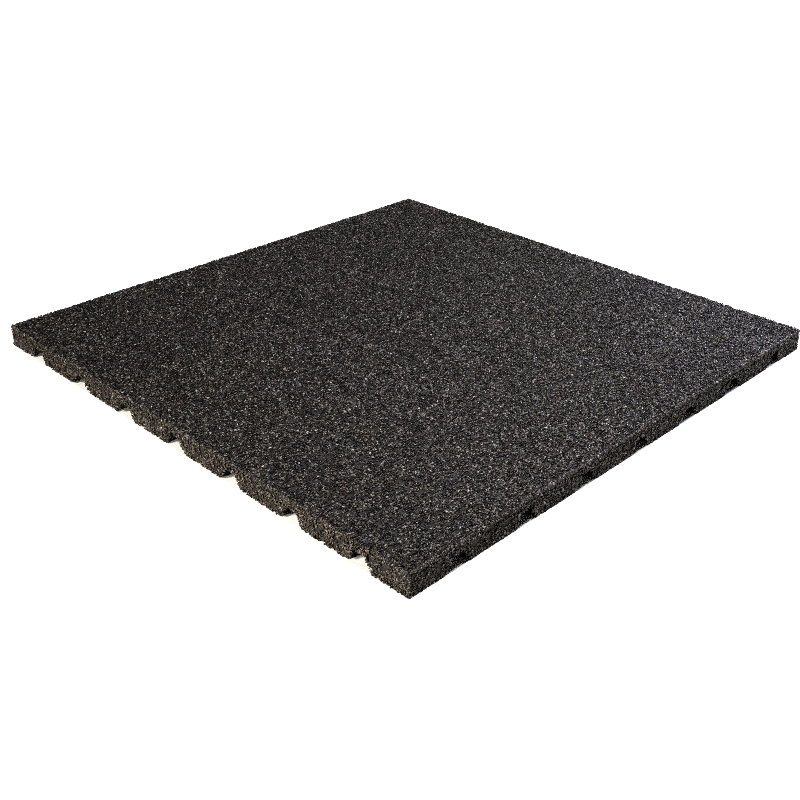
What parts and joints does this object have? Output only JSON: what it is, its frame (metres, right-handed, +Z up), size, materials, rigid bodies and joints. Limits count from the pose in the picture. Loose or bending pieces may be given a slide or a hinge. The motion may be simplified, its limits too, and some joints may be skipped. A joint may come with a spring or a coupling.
{
  "type": "rubber tile",
  "caption": "Square black paving tile moulded from bonded rubber crumb, with crossing drainage grooves between feet underneath.",
  "frame": {"origin": "middle of the tile in the plane that its feet stand on", "axes": "+Z up through the thickness to the walking surface, +X and +Y along the sides"},
  "size_m": [0.5, 0.5, 0.02],
  "materials": {
    "rubber_crumb": "matt, granular"
  },
  "bodies": {
    "root": {"rubber_tile": "rubber_crumb"}
  },
  "joints": []
}
